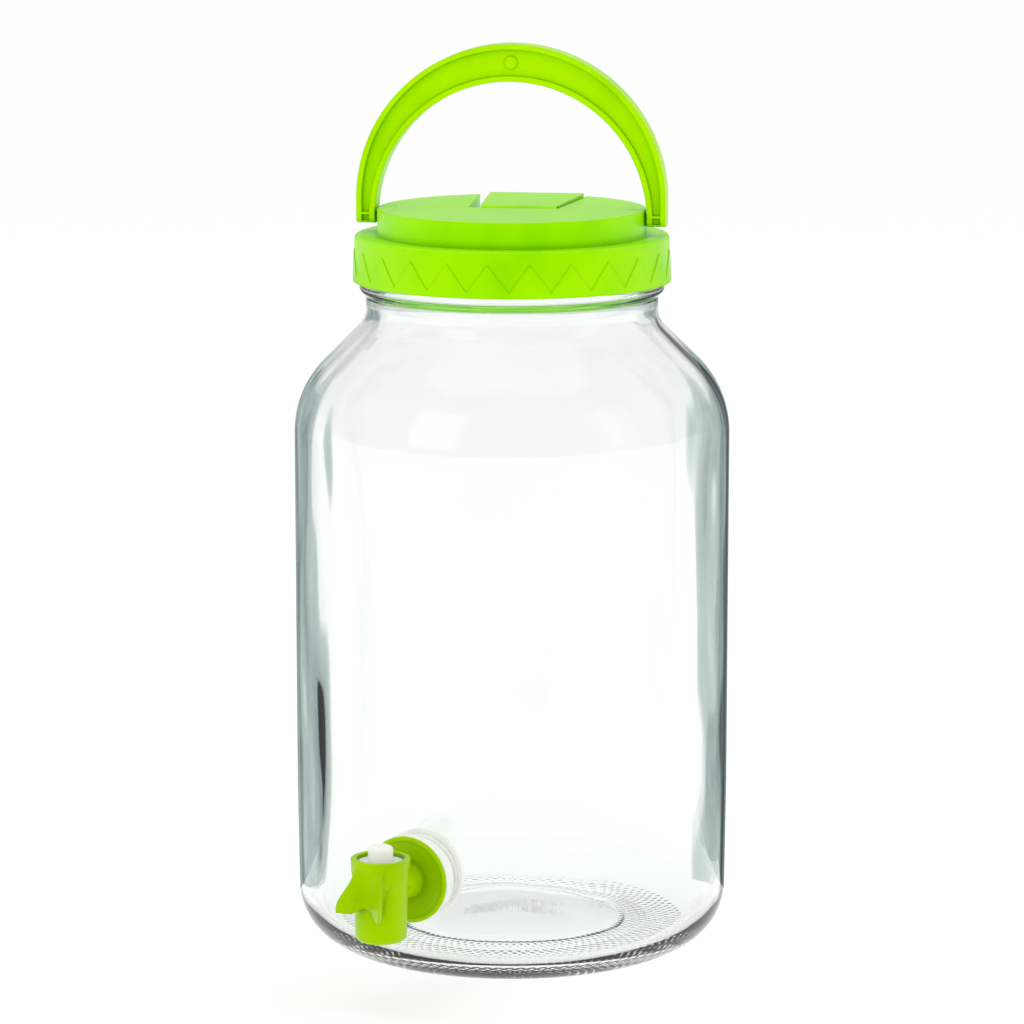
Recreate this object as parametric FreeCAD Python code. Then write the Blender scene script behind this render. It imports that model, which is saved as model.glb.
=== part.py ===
import FreeCAD, Part
import math
import os

# Glass drinks or disinfectant dispenser jar with a screw lid, a bail handle, a pour flap and a press tap.
# Millimetres. +Z is up, the origin is on the jar's axis in the plane it stands on, the tap points to -Y.

V = FreeCAD.Vector
UP = V(0, 0, 1)
OUTWARD = V(0, -1, 0)
through = 40.0           # length of cutters that pass right through a wall
near = 0.01              # levels closer than this count as the same

# Glass jar
body_r = 82.5            # outer radius of the straight wall
wall = 4.0               # glass thickness of the wall, shoulder and neck
base_t = 7.5             # glass thickness of the base
foot_w = 8.0             # width of the flat ring the jar stands on
heel_r = 22.0            # radius of the heel between wall and foot
heel_draft = 0.5         # how much narrower the wall is at the heel
push_up = 6.0            # rise of the base's middle above the foot
shoulder_z = 197.5       # height where the wall turns into the shoulder
shoulder_r = 39.0        # radius of the shoulder's arc
neck_r = 55.4            # outer radius of the neck
neck_fillet = 10.0       # hollow radius between shoulder cone and neck
neck_h = 5.7             # straight length of the neck below the bead
bead_t = 4.8             # height of the bead ring under the lid
bead_proud = 2.3         # how far the bead stands out of the neck
finish_step = 1.0        # how much narrower the glass is above the bead than the neck
finish_h = 13.6          # height of the glass above the bead
finish_wall = 4.2        # glass thickness above the bead
heel_taper = 40.0        # height above the heel over which the wall reaches its full radius

# Screw thread between glass and lid
pitch = 5.08
thread_turns = 1.25
ridge_root = 2.0         # axial width of a ridge where it leaves its wall
ridge_crest = 0.9        # axial width of a ridge at its crest
glass_ridge_h = 1.7      # height of the glass ridge
lid_ridge_h = 2.2        # height of the lid's ridge
ridge_sink = 0.3         # how deep a ridge is rooted in its wall
glass_ridge_up = 4.3     # height of the glass ridge's start above the bead

# Lid
gasket_t = 1.5
gasket_gap = 0.05
gasket_side_gap = 0.3
thread_clear = 1.1       # clearance between the glass ridge's crest and the skirt
lid_wall = 2.2
lid_top_t = 2.0
skirt_draft = 0.35       # how much wider the skirt is at its lower edge
relief = 0.35            # height of the triangle relief on the skirt
relief_root = 0.5        # how deep the relief is rooted in the skirt
relief_count = 24
relief_start = 89.3      # turn of the first triangle from -Y to +X, in degrees
relief_low = 2.0         # height of the triangles' feet above the skirt's lower edge
relief_high = 12.4       # height of the triangles' tips above the skirt's lower edge
lid_bead_gap = 0.05      # clearance of the skirt's lower edge above the bead's top plane
lid_shoulder_w = 8.6     # width of the flat shoulder round the plateau
plateau_h = 9.8
plateau_edge = 0.4
lid_edge = 1.2           # rounding of the lid's outer edges
lid_seat_angle = 18.0    # turn of the handle's axis from +X with the lid done up
plateau_wall = 2.0       # thickness of the plateau's wall and of the notch's walls

# Pour flap and its notch
flap_w = 29.0            # width of the flap at its hinge
flap_flare_left = 2.3    # how much further left the flap reaches at its free edge
flap_flare_right = 5.4   # how much further right the flap reaches at its free edge
flap_setback = 2.8       # distance of the flap's free corner inside the plateau's edge
flap_t = 2.0
flap_corner = 1.6
flap_offset = 2.4       # middle of the flap's hinge along the handle's axis
pour_offset = 4.0        # middle of the pour hole along the handle's axis
flap_tilt = 0.9          # degrees the closed flap rises to its free end
flap_gap = 0.4           # clearance at the flap's hinge side and right side
finger_gap = 4.4         # gap at the flap's left side, for a fingernail
flap_proud = 0.7         # height of the flap's hinge line above the plateau
hinge_pin_r = 0.9
hinge_clear = 0.06
hinge_pin_grip = 1.5     # length of the hinge pin in each wall of the notch
pour_r = 11.0            # inner radius of the pour hole
pour_wall = 1.5
pour_setback = 5.2       # distance of the pour collar from the flap's free edge
plug_clear = 0.8
plug_wall = 1.4
plug_bite = 2.6          # depth of the flap's plug ring in the pour collar
collar_gap = 0.35        # clearance between the closed flap and the pour collar

# Bail handle
handle_gap = 0.8         # clearance between the plateau and the handle's legs
handle_band = 13.9       # width of the handle at the top
leg_w = 7.0              # width of the handle's legs
handle_depth = 11.0
handle_pivot_up = 6.0    # height of the pivot above the lid's shoulder
handle_foot = 2.3        # length of the handle's legs below the pivot
rim_w = 2.0
channel_d = 2.4          # depth of the channel in each face of the handle
pocket_h = 2.4           # height of the pocket in each foot
pocket_floor = 1.0       # distance of the pocket above the foot's end
pocket_rib = 0.9         # rib between pocket and channel
foot_round = 2.8
peg_r = 2.2
peg_clear = 0.06
peg_len = 5.6            # length of a peg from the leg's inner side
boss_wall = 1.8
mark_r = 2.4
mark_h = 0.5

# Press tap
tap_z = 42.8             # height of the tap's hole above the foot
shank_r = 7.6            # radius of the threaded shank
hole_clear = 0.5
shank_wall = 3.4
flange_r = 16.3
flange_t = 1.7           # thickness of the dished flange
flange_rim = 1.5         # width of the flange's flat rim
dish_d = 2.4             # depth of the dish
dish_root = 1.9          # width of the dish's floor round the tube
seat_t = 4.8             # thickness of the outer washer under the flange's rim
washer_inset = 0.7       # how much smaller the outer washer is than the flange
tube_wall = 2.1
barrel_reach = 20.0      # distance of the barrel's axis from the flange's front face
barrel_r = 9.45          # radius of the barrel at its foot
barrel_draft = 0.65      # how much wider the barrel is below its rim
barrel_edge = 2.2
barrel_wall = 2.8
barrel_up = 13.4         # height of the barrel's top above the tap's axis
barrel_down = 17.6       # length of the barrel below the tap's axis
rim_proud = 0.8          # how far the rim stands out of the barrel
rim_h = 2.2
rim_cone_h = 2.5
rim_wall = 2.2           # thickness of the rim round the diaphragm
cup_d = 3.3
seat_bite = 1.6          # overlap of the valve disc on its seat
valve_seat_t = 1.6
valve_seat_down = 7.4    # distance of the valve seat below the tap's axis
inner_washer_t = 3.2
inner_washer_w = 7.3     # width of the inner washer round the shank
nut_t = 7.0
nut_wall = 5.6           # width of the nut round the shank, across its corners
nut_flange_w = 8.9       # width of the nut's flange round the shank
nut_flange_t = 2.0
shank_past_nut = 2.0
diaphragm_t = 2.0
fit_gap = 0.05
button_r = 4.6
button_round = 1.4
button_crown = 0.5
stem_r = 1.9
stem_clear = 0.1
stroke = 2.6             # travel of the button
button_rest = 2.9        # height of the pressed button's side above the diaphragm
valve_clear = 1.0        # clearance of the valve disc in the barrel
valve_t = 2.2
wing_reach = 20.6        # distance of the finger wings' tips from the barrel's axis
wing_angle = 25.0        # turn of each wing from the tap's axis, in degrees
wing_t = 2.0
wing_sink = 2.0          # how deep the wings are rooted in the barrel
wing_root_up = 10.5      # height of the wings' upper ends above the tap's axis
wing_tip_down = 5.1      # mean depth of the wings' tips below the tap's axis
wing_lean = 1.2          # how much lower the right wing and higher the left wing ends than the mean
wing_tip_h = 3.0         # height of the wings' upright ends
wing_round = 2.0         # bevel between a wing's slope and its upright end
wing_heel_down = 2.2     # how much lower than its tip a wing's lower edge meets the barrel

# Worked out from the sizes above
foot_r = body_r - heel_draft - heel_r
cone_r = body_r - shoulder_r + shoulder_r * math.cos(math.radians(45))
cone_z = shoulder_z + shoulder_r * math.sin(math.radians(45))
neck_top = cone_z + cone_r - neck_r + neck_fillet * math.tan(math.radians(22.5)) + neck_h
finish_r = neck_r - finish_step
bead_top = neck_top + bead_t
glass_top = bead_top + finish_h
lid_foot_z = bead_top + lid_bead_gap
lid_under = glass_top + gasket_t + 2 * gasket_gap
shoulder_top = lid_under + lid_top_t
plateau_top = shoulder_top + plateau_h
skirt_in_r = finish_r + glass_ridge_h + thread_clear
lid_r = skirt_in_r + lid_wall
plateau_r = lid_r - lid_shoulder_w
handle_in_r = plateau_r + handle_gap
handle_out_r = handle_in_r + leg_w
pivot_z = shoulder_top + handle_pivot_up
handle_top = pivot_z + handle_in_r + handle_band
shank_bore_r = shank_r - shank_wall
tube_r = shank_bore_r + tube_wall
nut_r = shank_r + nut_wall
nut_flange_r = shank_r + nut_flange_w
washer_r = flange_r - washer_inset
rim_r = barrel_r + barrel_draft + rim_proud
cup_r = rim_r - rim_wall
barrel_bore_r = barrel_r - barrel_wall
valve_r = barrel_bore_r - valve_clear
seat_in_r = valve_r - seat_bite
barrel_axis_y = -(body_r + seat_t + flange_t + barrel_reach)
flange_back_y = -(body_r + seat_t)
flange_face_y = flange_back_y - flange_t
barrel_top = tap_z + barrel_up
barrel_foot = tap_z - barrel_down
cup_floor = barrel_top - cup_d
inner_face_y = -(body_r - wall)
hinge_r = flap_t / 2 + hinge_pin_r
hinge_z = plateau_top + flap_proud - hinge_r
hinge_n = flap_gap + hinge_r
flap_far_right = flap_offset + flap_w / 2 + flap_flare_right
flap_len = math.sqrt(plateau_r ** 2 - flap_far_right ** 2) - flap_setback - flap_gap
pour_back = flap_gap + flap_len - pour_setback - pour_wall - pour_r
plug_out_r = pour_r - plug_clear
collar_top = plateau_top + flap_proud - flap_t - collar_gap
button_h = stroke + button_rest
shank_end_y = inner_face_y + inner_washer_t + nut_t + shank_past_nut


def save(shape, name):
    shape.exportStep("parts/%s.step" % name)


def outline(steps):
    """Closed face in the XZ plane from points (r, z) and arcs ((mid r, mid z), (end r, end z))."""
    edges = []
    here = V(steps[0][0], 0, steps[0][1])
    first = here
    for step in steps[1:]:
        if isinstance(step[0], tuple):
            mid = V(step[0][0], 0, step[0][1])
            end = V(step[1][0], 0, step[1][1])
            edges.append(Part.Arc(here, mid, end).toShape())
        else:
            end = V(step[0], 0, step[1])
            edges.append(Part.LineSegment(here, end).toShape())
        here = end
    if (here - first).Length > 1e-6:
        edges.append(Part.LineSegment(here, first).toShape())
    return Part.Face(Part.Wire(edges))


def spun(steps):
    return outline(steps).revolve(V(0, 0, 0), UP, 360)


def on_arc(centre, radius, degrees):
    a = math.radians(degrees)
    return (centre[0] + radius * math.cos(a), centre[1] + radius * math.sin(a))


def rod(radius, length, start, direction):
    return Part.makeCylinder(radius, length, start, direction)


def ring(outer, inner, height, z):
    return rod(outer, height, V(0, 0, z), UP).cut(rod(inner, height, V(0, 0, z), UP))


def seated(shape):
    """Turn a piece of the lid from the handle's own axes to its seat on the jar."""
    turned = shape.copy()
    turned.rotate(V(0, 0, 0), UP, lid_seat_angle)
    return turned


def jar_profile(r_body, r_neck, inset):
    """Wall line from the start of the heel to the neck, moved inwards by inset."""
    centre = (r_body - shoulder_r, shoulder_z)
    radius = shoulder_r - inset
    cone = on_arc(centre, radius, 45)
    hollow = neck_fillet + inset
    neck = r_neck - inset
    tangent = hollow * math.tan(math.radians(22.5))
    corner_z = cone[1] + cone[0] - neck
    low = (neck + tangent * math.cos(math.radians(45)), corner_z - tangent * math.sin(math.radians(45)))
    high = (neck, corner_z + tangent)
    mid = on_arc((neck + hollow, high[1]), hollow, 202.5)
    return [
        (r_body - inset, shoulder_z),
        (on_arc(centre, radius, 22.5), cone),
        low,
        (mid, high),
    ]


def thread(radius, height, z, inward, turns):
    """Screw ridge on a wall of the given radius, rooted a little way inside it."""
    side = -1 if inward else 1
    root = radius - side * ridge_sink
    tip = radius + side * height
    helix = Part.makeLongHelix(pitch, pitch * turns, radius, 0)
    points = [
        V(root, 0, -ridge_root / 2),
        V(tip, 0, -ridge_crest / 2),
        V(tip, 0, ridge_crest / 2),
        V(root, 0, ridge_root / 2),
    ]
    profile = Part.makePolygon(points + points[:1])
    ridge = Part.Wire(helix.Edges).makePipeShell([profile], True, True)
    ridge.translate(V(0, 0, z))
    return ridge


def jar_outer():
    heel = (foot_r, heel_r)
    ring_in = foot_r - foot_w
    bead_mid = neck_top + bead_t / 2
    lip = finish_wall / 2
    cap_r = (ring_in ** 2 + push_up ** 2) / (2 * push_up)
    halfway = (ring_in / 2, push_up - cap_r + math.sqrt(cap_r ** 2 - ring_in ** 2 / 4))
    steps = [(0, push_up), (halfway, (ring_in, 0)), (foot_r, 0)]
    steps.append((on_arc(heel, heel_r, -45), (foot_r + heel_r, heel_r)))
    steps.append((body_r, heel_r + heel_taper))
    steps += jar_profile(body_r, neck_r, 0)
    steps.append((neck_r, neck_top))
    steps.append(((neck_r + bead_proud, bead_mid), (neck_r, bead_top)))
    steps.append((finish_r, bead_top))
    steps.append((finish_r, glass_top - lip))
    steps.append((on_arc((finish_r - lip, glass_top - lip), lip, 45), (finish_r - lip, glass_top)))
    return spun(steps + [(0, glass_top)])


def jar_cavity():
    inner_heel = heel_r - base_t
    centre = (foot_r + heel_r - wall - inner_heel, base_t + inner_heel)
    bead_mid = neck_top + bead_t / 2
    mouth_r = finish_r - finish_wall
    steps = [(0, base_t + push_up), (foot_r - foot_w, base_t), (centre[0], base_t)]
    steps.append((on_arc(centre, inner_heel, -45), (centre[0] + inner_heel, centre[1])))
    steps.append((body_r - wall, heel_r + heel_taper))
    steps += jar_profile(body_r, neck_r, wall)
    steps += [(neck_r - wall, neck_top), (mouth_r, bead_mid), (mouth_r, glass_top)]
    return spun(steps + [(0, glass_top)])


def glass_jar():
    hole = rod(shank_r + hole_clear, through, V(0, -body_r + through / 2, tap_z), OUTWARD)
    ridge = thread(finish_r, glass_ridge_h, bead_top + glass_ridge_up, False, thread_turns)
    return jar_outer().cut(jar_cavity()).cut(hole).fuse(ridge)


def lid_gasket():
    return ring(skirt_in_r - gasket_side_gap, finish_r - finish_wall, gasket_t, glass_top + gasket_gap)


def skirt_out(z):
    """Outer radius of the skirt at a height."""
    share = (shoulder_top - lid_edge - z) / (shoulder_top - lid_edge - lid_foot_z)
    return lid_r + skirt_draft * share


def lid_block():
    """Outer form of the lid with its notch, before it is hollowed."""
    edge = lid_edge
    steps = [(0, lid_foot_z), (skirt_out(lid_foot_z), lid_foot_z), (lid_r, shoulder_top - edge)]
    steps.append((on_arc((lid_r - edge, shoulder_top - edge), edge, 45), (lid_r - edge, shoulder_top)))
    steps += [(plateau_r, shoulder_top), (plateau_r, plateau_top - plateau_edge)]
    steps += [(plateau_r - plateau_edge, plateau_top), (0, plateau_top)]
    return spun(steps)


def flap_edges(n):
    """Left and right side of the flap at a distance from the notch's hinge edge."""
    share = (n - flap_gap) / flap_len
    left = flap_offset - flap_w / 2 - flap_flare_left * share
    right = flap_offset + flap_w / 2 + flap_flare_right * share
    return left, right


def notch_block(grow, z_low, z_high):
    """Space of the notch, or of the notch with its walls."""
    far = lid_r + grow
    near_left, near_right = flap_edges(-grow)
    far_left, far_right = flap_edges(far)
    corners = [
        V(near_left - finger_gap - grow, -grow, z_low),
        V(near_right + flap_gap + grow, -grow, z_low),
        V(far_right + flap_gap + grow, far, z_low),
        V(far_left - finger_gap - grow, far, z_low),
    ]
    return Part.Face(Part.makePolygon(corners + corners[:1])).extrude(V(0, 0, z_high - z_low))


def lid_hollow():
    """Space under the lid: the socket for the glass and the hollow of the plateau."""
    socket = rod(skirt_in_r, lid_under - lid_foot_z, V(0, 0, lid_foot_z), UP)
    ceiling = plateau_top - lid_top_t
    dome = rod(plateau_r - plateau_wall, ceiling - lid_under, V(0, 0, lid_under), UP)
    return socket.fuse(dome.cut(notch_block(plateau_wall, lid_under, ceiling)))


def relief_band():
    """Ring of triangles that stands a little out of the skirt, peaks up."""
    low = lid_foot_z + relief_low
    high = lid_foot_z + relief_high
    root = lid_r - relief_root
    foot_r_out = skirt_out(lid_foot_z) + relief
    low_r_out = skirt_out(low) + relief
    foot = spun([(root, lid_foot_z), (foot_r_out, lid_foot_z), (low_r_out, low), (root, low)])
    belt = spun([(root, low), (low_r_out, low), (skirt_out(high) + relief, high), (root, high)])
    half = low_r_out * math.tan(math.radians(180 / relief_count))
    corners = [V(-half, 0, low), V(half, 0, low), V(0, 0, high), V(-half, 0, low)]
    tooth = Part.Face(Part.makePolygon(corners)).extrude(V(0, -2 * lid_r, 0))
    teeth = []
    for index in range(relief_count):
        turned = tooth.copy()
        turned.rotate(V(0, 0, 0), UP, relief_start + index * 360 / relief_count)
        teeth.append(turned)
    return [foot] + [belt.common(one) for one in teeth]


def pour_collar():
    centre = V(pour_offset, pour_back, shoulder_top - lid_top_t / 2)
    height = collar_top - centre.z
    return rod(pour_r + pour_wall, height, centre, UP)


def pivot_boss(side):
    outer = peg_r + peg_clear + boss_wall
    start = V(side * (plateau_r - plateau_wall / 2), 0, pivot_z)
    return rod(outer, peg_len, start, V(-side, 0, 0))


def pivot_hole(side):
    length = handle_gap + plateau_wall + peg_len
    return rod(peg_r + peg_clear, length, V(side * handle_in_r, 0, pivot_z), V(-side, 0, 0))


def hinge_rod(radius, grip):
    left = flap_offset - flap_w / 2 - finger_gap - grip
    right = flap_offset + flap_w / 2 + flap_gap + grip
    return rod(radius, right - left, V(left, hinge_n, hinge_z), V(1, 0, 0))


def lid():
    shell = lid_block().cut(notch_block(0, shoulder_top, plateau_top)).cut(lid_hollow())
    shell = shell.fuse([pour_collar(), pivot_boss(1), pivot_boss(-1)])
    pour = rod(pour_r, through, V(pour_offset, pour_back, lid_under - lid_top_t), UP)
    shell = shell.cut(pour).cut(pivot_hole(1)).cut(pivot_hole(-1))
    shell = shell.cut(hinge_rod(hinge_pin_r, hinge_pin_grip))
    shell = seated(shell.fuse(relief_band()))
    ridge_z = bead_top + glass_ridge_up - pitch / 2
    return shell.fuse(thread(skirt_in_r, lid_ridge_h, ridge_z, True, thread_turns))


def flap_hinge_pin():
    return seated(hinge_rod(hinge_pin_r, hinge_pin_grip))


def pour_flap():
    left, right = flap_edges(hinge_n)
    far_n = flap_gap + flap_len
    far_left, far_right = flap_edges(far_n)
    plate_low = hinge_z + hinge_r - flap_t
    corners = [V(left, hinge_n, plate_low), V(right, hinge_n, plate_low)]
    corners += [V(far_right, far_n, plate_low), V(far_left, far_n, plate_low)]
    plate = Part.Face(Part.makePolygon(corners + corners[:1])).extrude(V(0, 0, flap_t))
    upright = [edge for edge in plate.Edges if edge.BoundBox.ZLength > flap_t / 2]
    plate = plate.makeFillet(flap_corner, [edge for edge in upright if edge.BoundBox.YMin > far_n - near])
    knuckle = rod(hinge_r, flap_w, V(flap_offset - flap_w / 2, hinge_n, hinge_z), V(1, 0, 0))
    centre = V(pour_offset, pour_back, collar_top - plug_bite)
    plug_h = plate_low - centre.z + flap_t / 2
    plug = rod(plug_out_r, plug_h, centre, UP).cut(rod(plug_out_r - plug_wall, plug_h, centre, UP))
    flap = plate.fuse([knuckle, plug])
    flap = flap.cut(rod(hinge_pin_r + hinge_clear, 2 * flap_w, V(-flap_w, hinge_n, hinge_z), V(1, 0, 0)))
    flap.rotate(V(0, hinge_n, hinge_z), V(1, 0, 0), flap_tilt)
    return seated(flap)


def bail_face(inset, low):
    """Arched band of the handle in the XZ plane, narrowed by inset on both sides."""
    out_r = handle_out_r - inset
    in_r = handle_in_r + inset
    out_z = handle_top - handle_out_r
    steps = [(-out_r, low), (-out_r, out_z), ((0, out_z + out_r), (out_r, out_z))]
    steps += [(out_r, low), (in_r, low)]
    if low < pivot_z:
        steps += [(in_r, pivot_z), ((0, pivot_z + in_r), (-in_r, pivot_z)), (-in_r, low)]
    else:
        steps.append(((0, pivot_z + in_r), (-in_r, low)))
    return outline(steps)


def foot_pocket(side):
    width = handle_out_r - handle_in_r - 2 * rim_w
    x_low = handle_in_r + rim_w if side > 0 else -handle_out_r + rim_w
    low = pivot_z - handle_foot + pocket_floor
    return Part.makeBox(width, channel_d, pocket_h, V(x_low, 0, low))


def handle():
    half = handle_depth / 2
    foot_z = pivot_z - handle_foot
    band = bail_face(0, foot_z).extrude(V(0, handle_depth, 0))
    band.translate(V(0, -half, 0))
    low_edges = [edge for edge in band.Edges if edge.BoundBox.ZMax < foot_z + near]
    feet = [edge for edge in low_edges if edge.BoundBox.XLength > near]
    band = band.makeFillet(foot_round, feet)
    channel_low = foot_z + pocket_floor + pocket_h + pocket_rib
    channel = bail_face(rim_w, channel_low).extrude(V(0, channel_d, 0))
    for cutter in (channel, foot_pocket(1), foot_pocket(-1)):
        front = cutter.copy()
        front.translate(V(0, -half, 0))
        back = cutter.copy()
        back.translate(V(0, half - channel_d, 0))
        band = band.cut(front).cut(back)
    pegs = []
    for side in (1, -1):
        start = V(side * (handle_in_r + rim_w), 0, pivot_z)
        pegs.append(rod(peg_r, peg_len + rim_w, start, V(-side, 0, 0)))
    mark_z = pivot_z + handle_in_r + handle_band / 2
    mark_len = handle_depth - 2 * channel_d + 2 * mark_h
    mark = rod(mark_r, mark_len, V(0, -mark_len / 2, mark_z), -OUTWARD)
    return seated(band.fuse(pegs + [mark]))


def barrel_outer():
    rim_low = barrel_top - rim_h
    steps = [(0, barrel_foot), (barrel_r - barrel_edge, barrel_foot)]
    corner = (barrel_r - barrel_edge, barrel_foot + barrel_edge)
    steps.append((on_arc(corner, barrel_edge, -45), (barrel_r, barrel_foot + barrel_edge)))
    steps += [(barrel_r + barrel_draft, rim_low - rim_cone_h), (rim_r, rim_low)]
    steps += [(rim_r, barrel_top), (0, barrel_top)]
    return moved_to_barrel(spun(steps))


def moved_to_barrel(shape):
    shape.translate(V(0, barrel_axis_y, 0))
    return shape


def barrel_bores():
    seat_top = tap_z - valve_seat_down
    seat_low = seat_top - valve_seat_t
    cup = rod(cup_r, cup_d, V(0, 0, cup_floor), UP)
    chamber = rod(barrel_bore_r, cup_floor - seat_top, V(0, 0, seat_top), UP)
    seat = rod(seat_in_r, valve_seat_t, V(0, 0, seat_low), UP)
    outlet = rod(barrel_bore_r, seat_low - barrel_foot, V(0, 0, barrel_foot), UP)
    return moved_to_barrel(cup.fuse([chamber, seat, outlet]))


def finger_wing(side):
    """Upright fin that sweeps out from under the rim to a blunt tip."""
    root = barrel_r - wing_sink
    top = tap_z + wing_root_up
    tip = tap_z - wing_tip_down - side * wing_lean
    slope_end = (wing_reach - wing_round, tip + wing_tip_h + wing_round)
    steps = [(root, top), (barrel_r + barrel_draft, top), slope_end, (wing_reach, tip + wing_tip_h)]
    steps += [(wing_reach, tip), (root, tip - wing_heel_down)]
    fin = outline(steps).extrude(V(0, wing_t, 0))
    fin.translate(V(0, -wing_t / 2, 0))
    fin.rotate(V(0, 0, 0), UP, side * wing_angle - 90)
    return moved_to_barrel(fin)


def facing_out(shape):
    """Turn a shape that was spun about +Z so that its axis is the tap's axis, +Z to -Y."""
    shape.rotate(V(0, 0, 0), V(1, 0, 0), 90)
    shape.translate(V(0, 0, tap_z))
    return shape


def tap_flange():
    """Dished flange: a flat rim, a cone down to a flat floor round the tube."""
    face = -flange_face_y
    root = tube_r + dish_root
    steps = [(0, face - dish_d - flange_t), (root, face - dish_d - flange_t), (flange_r, face - flange_t)]
    steps += [(flange_r, face), (flange_r - flange_rim, face), (root, face - dish_d), (0, face - dish_d)]
    return facing_out(spun(steps))


def tap_body():
    tube = rod(tube_r, flange_back_y - barrel_axis_y, V(0, flange_back_y, tap_z), OUTWARD)
    shank = rod(shank_r, shank_end_y - flange_back_y, V(0, flange_back_y, tap_z), -OUTWARD)
    solid = tap_flange().fuse([tube, shank, barrel_outer(), finger_wing(1), finger_wing(-1)])
    inlet = rod(shank_bore_r, shank_end_y - barrel_axis_y, V(0, barrel_axis_y, tap_z), -OUTWARD)
    return solid.cut(barrel_bores()).cut(inlet).removeSplitter()


def tap_washer_outer():
    """Soft washer, shaped to the flange's back on one side and to the jar on the other."""
    back = -flange_back_y
    root = tube_r + dish_root
    rim_drop = dish_d * washer_inset / (flange_r - root)
    bore = shank_r + fit_gap
    steps = [(bore, -inner_face_y), (washer_r, -inner_face_y), (washer_r, back - rim_drop)]
    steps += [(root, back - dish_d), (bore, back - dish_d)]
    return facing_out(spun(steps)).cut(jar_outer())


def tap_washer_inner():
    face_y = inner_face_y + inner_washer_t
    blank = rod(shank_r + inner_washer_w, through, V(0, face_y, tap_z), OUTWARD)
    return blank.cut(rod(shank_r + fit_gap, through, V(0, face_y, tap_z), OUTWARD)).common(jar_cavity())


def tap_nut():
    start = V(0, inner_face_y + inner_washer_t, tap_z)
    collar = rod(nut_flange_r - fit_gap, nut_flange_t, start, -OUTWARD)
    corners = []
    for index in range(7):
        turn = math.radians(60 * index)
        corners.append(start + V(nut_r * math.cos(turn), 0, nut_r * math.sin(turn)))
    hexagon = Part.Face(Part.makePolygon(corners)).extrude(V(0, nut_t, 0))
    return collar.fuse(hexagon).cut(rod(shank_r + fit_gap, nut_t, start, -OUTWARD))


def tap_diaphragm():
    hole = button_r + stem_clear
    return moved_to_barrel(ring(cup_r - fit_gap, hole, diaphragm_t, cup_floor + fit_gap))


def tap_button():
    top = cup_floor + fit_gap + diaphragm_t + button_h
    edge = button_round
    seat_low = tap_z - valve_seat_down - valve_seat_t
    stem_low = seat_low - fit_gap - valve_t
    steps = [(0, stem_low), (stem_r, stem_low), (stem_r, cup_floor), (button_r, cup_floor)]
    steps.append((button_r, top - edge))
    steps.append((on_arc((button_r - edge, top - edge), edge, 45), (button_r - edge, top)))
    return moved_to_barrel(spun(steps + [(0, top + button_crown)]))


def tap_valve_disc():
    low = tap_z - valve_seat_down - valve_seat_t - fit_gap - valve_t
    return moved_to_barrel(ring(valve_r, stem_r, valve_t, low))


NODES = {
    "glass_jar": glass_jar,
    "lid_gasket": lid_gasket,
    "lid": lid,
    "flap_hinge_pin": flap_hinge_pin,
    "pour_flap": pour_flap,
    "handle": handle,
    "tap_body": tap_body,
    "tap_washer_outer": tap_washer_outer,
    "tap_washer_inner": tap_washer_inner,
    "tap_nut": tap_nut,
    "tap_diaphragm": tap_diaphragm,
    "tap_button": tap_button,
    "tap_valve_disc": tap_valve_disc,
}

os.makedirs("parts", exist_ok=True)
for node_name, make in NODES.items():
    save(make(), node_name)
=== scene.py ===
import math
import bmesh
import bpy
from mathutils import Matrix, Vector, noise


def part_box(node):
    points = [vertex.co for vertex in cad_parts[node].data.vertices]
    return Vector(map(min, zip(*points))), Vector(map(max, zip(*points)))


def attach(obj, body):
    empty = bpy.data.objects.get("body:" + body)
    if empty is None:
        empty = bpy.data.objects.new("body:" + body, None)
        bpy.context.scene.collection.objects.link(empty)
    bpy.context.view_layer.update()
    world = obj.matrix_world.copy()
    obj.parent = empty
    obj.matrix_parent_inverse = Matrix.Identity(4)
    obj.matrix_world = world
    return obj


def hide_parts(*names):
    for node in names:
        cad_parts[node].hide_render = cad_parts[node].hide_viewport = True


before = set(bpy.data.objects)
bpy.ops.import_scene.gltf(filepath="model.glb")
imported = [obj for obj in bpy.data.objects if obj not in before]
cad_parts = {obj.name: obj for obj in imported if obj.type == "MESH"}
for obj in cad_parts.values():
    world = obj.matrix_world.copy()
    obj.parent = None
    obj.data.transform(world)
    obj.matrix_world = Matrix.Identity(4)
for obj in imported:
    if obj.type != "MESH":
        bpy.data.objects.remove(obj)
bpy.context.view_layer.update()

bl_info = {
    "name": "Glass Dispenser Jar",
    "version": (1, 0, 0),
    "blender": (4, 5, 0),
    "location": "3D View > Sidebar > Dispenser",
    "description": "Glass dispenser jar with a screw lid, bail handle, pour flap and press tap",
    "category": "Object",
}

MM = 0.001
SEAT = math.radians(18)          # turn of the handle's axis on the closed lid
TAP_HOLE = 8.1 * MM              # radius of the hole in the glass
THREAD_PITCH = 5.08 * MM
THREAD_TURNS = 1.25
BARREL_CORE = 9.2 * MM           # radius inside the barrel's wall, where the wings end
SHOULDER_DROP = 11.5 * MM        # depth under the lid's top where its skirt begins


def length(name, text, default):
    return bpy.props.FloatProperty(
        name=name, description=text, default=default, unit="LENGTH", precision=4
    )


def angle(name, text, degrees):
    return bpy.props.FloatProperty(
        name=name, description=text, default=math.radians(degrees), subtype="ANGLE"
    )


def colour(name, text, default):
    return bpy.props.FloatVectorProperty(
        name=name, description=text, default=default, subtype="COLOR", min=0, max=1, size=3
    )


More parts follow.
